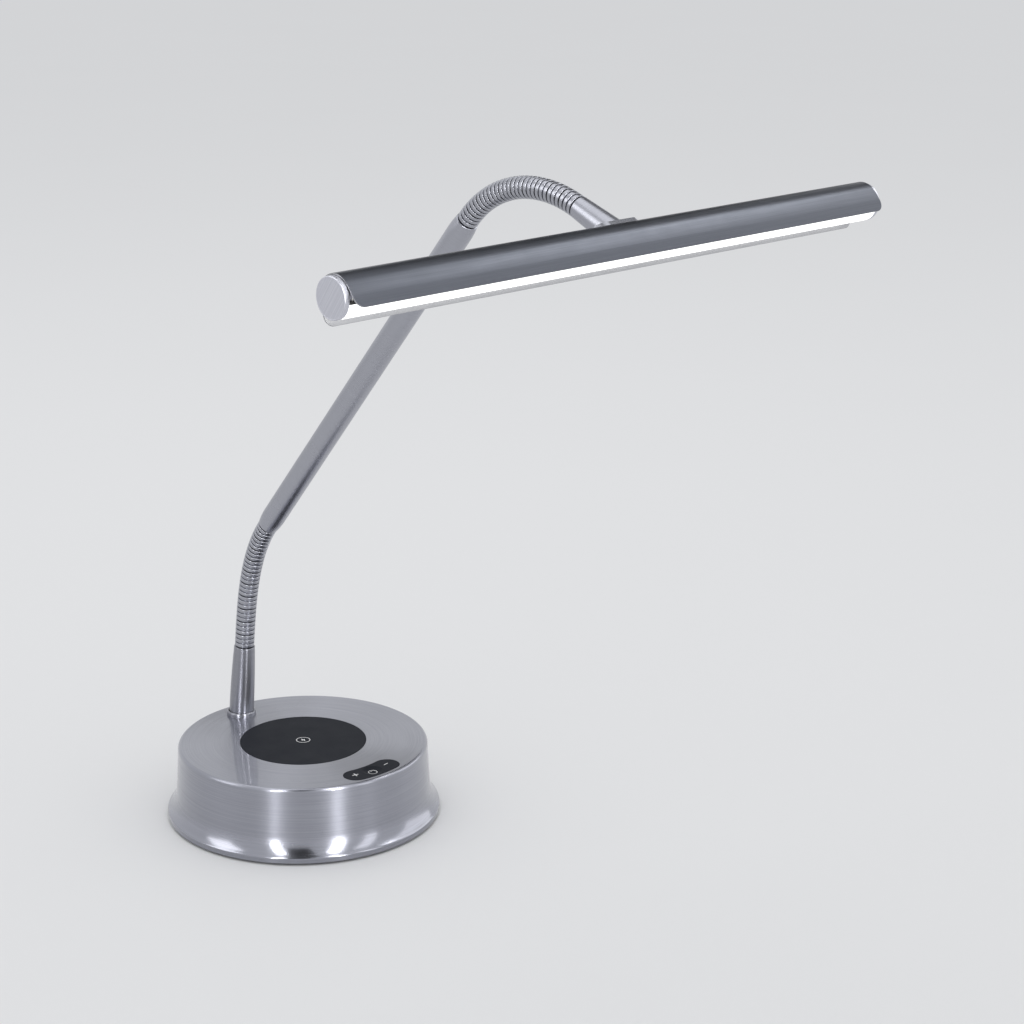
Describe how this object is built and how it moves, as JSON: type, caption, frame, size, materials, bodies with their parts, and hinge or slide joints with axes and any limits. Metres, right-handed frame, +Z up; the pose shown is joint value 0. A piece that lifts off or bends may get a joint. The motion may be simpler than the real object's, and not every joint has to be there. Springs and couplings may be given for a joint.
{
  "type": "piano lamp",
  "caption": "Piano lamp: weighted round base with charging disc and touch panel, ribbed goosenecks on a straight arm, and a long horizontal light head.",
  "frame": {"origin": "centre of the foot's underside, on the surface that the lamp stands on", "axes": "+Z up; -Y towards the user, with the touch panel at the front; the head lies along X"},
  "size_m": [0.4536, 0.4242, 0.4892],
  "materials": {
    "base_housing": "spun and circularly brushed nickel",
    "plate_steel": "plain zinc-plated sheet",
    "foot_foam": "dark closed-cell foam",
    "ballast_iron": "rough casting",
    "screw_steel": "plated screws",
    "pad_black": "near-black satin",
    "inner_plastic": "moulded black",
    "coil_copper": "enamelled copper strands",
    "ferrite": "dark grey ferrite sheet",
    "board_green": "solder mask",
    "jack_black": "moulded black",
    "contact_pin": "nickel-plated pin",
    "satin_nickel": "bright satin nickel, grain lengthwise",
    "neck_nickel": "bright satin nickel ribs",
    "shade_grey": "satin grey, grain lengthwise",
    "carrier_aluminium": "plain extrusion",
    "board_white": "white solder mask",
    "led_yellow": "phosphor-coated packages",
    "opal_lens": "opal, glowing white",
    "cap_nickel": "brushed disc"
  },
  "bodies": {
    "base": {"base_shell": "base_housing", "base_plate": "plate_steel", "base_foot": "foot_foam", "ballast": "ballast_iron", "base_screws": "screw_steel", "ballast_screws": "screw_steel", "charging_pad": "pad_black", "charging_tray": "inner_plastic", "charging_coil": "coil_copper", "ferrite_sheet": "ferrite", "charger_board": "board_green", "tray_screws": "screw_steel", "control_panel": "pad_black", "control_board": "board_green", "panel_screws": "screw_steel", "driver_board": "board_green", "board_screws": "screw_steel", "dc_jack": "jack_black", "dc_jack_contact": "contact_pin", "stem": "satin_nickel", "stem_collar": "satin_nickel", "stem_washer": "plate_steel", "stem_nut": "plate_steel"},
    "lower_neck_link_01": {"lower_neck_link_01": "neck_nickel"},
    "lower_neck_link_02": {"lower_neck_link_02": "neck_nickel"},
    "lower_neck_link_03": {"lower_neck_link_03": "neck_nickel"},
    "lower_neck_link_04": {"lower_neck_link_04": "neck_nickel"},
    "lower_neck_link_05": {"lower_neck_link_05": "neck_nickel"},
    "lower_neck_link_06": {"lower_neck_link_06": "neck_nickel"},
    "lower_neck_link_07": {"lower_neck_link_07": "neck_nickel"},
    "lower_neck_link_08": {"lower_neck_link_08": "neck_nickel"},
    "lower_neck_link_09": {"lower_neck_link_09": "neck_nickel"},
    "lower_neck_link_10": {"lower_neck_link_10": "neck_nickel"},
    "arm": {"arm_tube": "satin_nickel"},
    "upper_neck_link_01": {"upper_neck_link_01": "neck_nickel"},
    "upper_neck_link_02": {"upper_neck_link_02": "neck_nickel"},
    "upper_neck_link_03": {"upper_neck_link_03": "neck_nickel"},
    "upper_neck_link_04": {"upper_neck_link_04": "neck_nickel"},
    "upper_neck_link_05": {"upper_neck_link_05": "neck_nickel"},
    "upper_neck_link_06": {"upper_neck_link_06": "neck_nickel"},
    "upper_neck_link_07": {"upper_neck_link_07": "neck_nickel"},
    "upper_neck_link_08": {"upper_neck_link_08": "neck_nickel"},
    "upper_neck_link_09": {"upper_neck_link_09": "neck_nickel"},
    "upper_neck_link_10": {"upper_neck_link_10": "neck_nickel"},
    "head": {"head_ferrule": "satin_nickel", "saddle": "satin_nickel", "saddle_screws": "screw_steel", "shade": "shade_grey", "led_carrier": "carrier_aluminium", "led_board": "board_white", "leds": "led_yellow", "diffuser": "opal_lens", "end_cap_left": "cap_nickel", "end_cap_right": "cap_nickel"}
  },
  "joints": [
    {"name": "lower_neck_bend_01", "type": "hinge", "parent": "base", "child": "lower_neck_link_01", "pos_m": [0, 0.06585, 0.10866], "axis": [1, 0, 0], "range_deg": [-7, 7]},
    {"name": "lower_neck_side_02", "type": "hinge", "parent": "lower_neck_link_01", "child": "lower_neck_link_02", "pos_m": [0, 0.06472, 0.1191], "axis": [0, 0.9937, 0.1121], "range_deg": [-7, 7]},
    {"name": "lower_neck_bend_03", "type": "hinge", "parent": "lower_neck_link_02", "child": "lower_neck_link_03", "pos_m": [0, 0.06347, 0.12952], "axis": [1, 0, 0], "range_deg": [-7, 7]},
    {"name": "lower_neck_side_04", "type": "hinge", "parent": "lower_neck_link_03", "child": "lower_neck_link_04", "pos_m": [0, 0.06197, 0.13991], "axis": [0, 0.9873, 0.159], "range_deg": [-7, 7]},
    {"name": "lower_neck_bend_05", "type": "hinge", "parent": "lower_neck_link_04", "child": "lower_neck_link_05", "pos_m": [0, 0.0601, 0.15025], "axis": [1, 0, 0], "range_deg": [-7, 7]},
    {"name": "lower_neck_side_06", "type": "hinge", "parent": "lower_neck_link_05", "child": "lower_neck_link_06", "pos_m": [0, 0.05774, 0.16048], "axis": [0, 0.9679, 0.2514], "range_deg": [-7, 7]},
    {"name": "lower_neck_bend_07", "type": "hinge", "parent": "lower_neck_link_06", "child": "lower_neck_link_07", "pos_m": [0, 0.05479, 0.17056], "axis": [1, 0, 0], "range_deg": [-7, 7]},
    {"name": "lower_neck_side_08", "type": "hinge", "parent": "lower_neck_link_07", "child": "lower_neck_link_08", "pos_m": [0, 0.05113, 0.1804], "axis": [0, 0.9226, 0.3857], "range_deg": [-7, 7]},
    {"name": "lower_neck_bend_09", "type": "hinge", "parent": "lower_neck_link_08", "child": "lower_neck_link_09", "pos_m": [0, 0.04667, 0.1899], "axis": [1, 0, 0], "range_deg": [-7, 7]},
    {"name": "lower_neck_side_10", "type": "hinge", "parent": "lower_neck_link_09", "child": "lower_neck_link_10", "pos_m": [0, 0.04133, 0.19894], "axis": [0, 0.8337, 0.5522], "range_deg": [-7, 7]},
    {"name": "lower_neck_bend_11", "type": "hinge", "parent": "lower_neck_link_10", "child": "arm", "pos_m": [0, 0.03506, 0.20737], "axis": [1, 0, 0], "range_deg": [-7, 7]},
    {"name": "upper_neck_bend_01", "type": "hinge", "parent": "arm", "child": "upper_neck_link_01", "pos_m": [0, -0.17218, 0.45479], "axis": [1, 0, 0], "range_deg": [-7, 7]},
    {"name": "upper_neck_side_02", "type": "hinge", "parent": "upper_neck_link_01", "child": "upper_neck_link_02", "pos_m": [0, -0.17947, 0.46231], "axis": [0, 0.6669, 0.7451], "range_deg": [-7, 7]},
    {"name": "upper_neck_bend_03", "type": "hinge", "parent": "upper_neck_link_02", "child": "upper_neck_link_03", "pos_m": [0, -0.18774, 0.46873], "axis": [1, 0, 0], "range_deg": [-7, 7]},
    {"name": "upper_neck_side_04", "type": "hinge", "parent": "upper_neck_link_03", "child": "upper_neck_link_04", "pos_m": [0, -0.19681, 0.47395], "axis": [0, 0.4396, 0.8982], "range_deg": [-7, 7]},
    {"name": "upper_neck_bend_05", "type": "hinge", "parent": "upper_neck_link_04", "child": "upper_neck_link_05", "pos_m": [0, -0.2065, 0.47792], "axis": [1, 0, 0], "range_deg": [-7, 7]},
    {"name": "upper_neck_side_06", "type": "hinge", "parent": "upper_neck_link_05", "child": "upper_neck_link_06", "pos_m": [0, -0.21662, 0.48061], "axis": [0, 0.1951, 0.9808], "range_deg": [-7, 7]},
    {"name": "upper_neck_bend_07", "type": "hinge", "parent": "upper_neck_link_06", "child": "upper_neck_link_07", "pos_m": [0, -0.22699, 0.48201], "axis": [1, 0, 0], "range_deg": [-7, 7]},
    {"name": "upper_neck_side_08", "type": "hinge", "parent": "upper_neck_link_07", "child": "upper_neck_link_08", "pos_m": [0, -0.23746, 0.48214], "axis": [0, -0.0464, 0.9989], "range_deg": [-7, 7]},
    {"name": "upper_neck_bend_09", "type": "hinge", "parent": "upper_neck_link_08", "child": "upper_neck_link_09", "pos_m": [0, -0.24788, 0.48105], "axis": [1, 0, 0], "range_deg": [-7, 7]},
    {"name": "upper_neck_side_10", "type": "hinge", "parent": "upper_neck_link_09", "child": "upper_neck_link_10", "pos_m": [0, -0.2581, 0.47879], "axis": [0, -0.2698, 0.9629], "range_deg": [-7, 7]},
    {"name": "upper_neck_bend_11", "type": "hinge", "parent": "upper_neck_link_10", "child": "head", "pos_m": [0, -0.26801, 0.47542], "axis": [1, 0, 0], "range_deg": [-7, 7]}
  ],
  "couplings": [
    {"joint": "lower_neck_bend_03", "follows": "lower_neck_bend_01", "ratio": 1},
    {"joint": "lower_neck_side_04", "follows": "lower_neck_side_02", "ratio": 1},
    {"joint": "lower_neck_bend_05", "follows": "lower_neck_bend_01", "ratio": 1},
    {"joint": "lower_neck_side_06", "follows": "lower_neck_side_02", "ratio": 1},
    {"joint": "lower_neck_bend_07", "follows": "lower_neck_bend_01", "ratio": 1},
    {"joint": "lower_neck_side_08", "follows": "lower_neck_side_02", "ratio": 1},
    {"joint": "lower_neck_bend_09", "follows": "lower_neck_bend_01", "ratio": 1},
    {"joint": "lower_neck_side_10", "follows": "lower_neck_side_02", "ratio": 1},
    {"joint": "lower_neck_bend_11", "follows": "lower_neck_bend_01", "ratio": 1},
    {"joint": "upper_neck_bend_03", "follows": "upper_neck_bend_01", "ratio": 1},
    {"joint": "upper_neck_side_04", "follows": "upper_neck_side_02", "ratio": 1},
    {"joint": "upper_neck_bend_05", "follows": "upper_neck_bend_01", "ratio": 1},
    {"joint": "upper_neck_side_06", "follows": "upper_neck_side_02", "ratio": 1},
    {"joint": "upper_neck_bend_07", "follows": "upper_neck_bend_01", "ratio": 1},
    {"joint": "upper_neck_side_08", "follows": "upper_neck_side_02", "ratio": 1},
    {"joint": "upper_neck_bend_09", "follows": "upper_neck_bend_01", "ratio": 1},
    {"joint": "upper_neck_side_10", "follows": "upper_neck_side_02", "ratio": 1},
    {"joint": "upper_neck_bend_11", "follows": "upper_neck_bend_01", "ratio": 1}
  ]
}
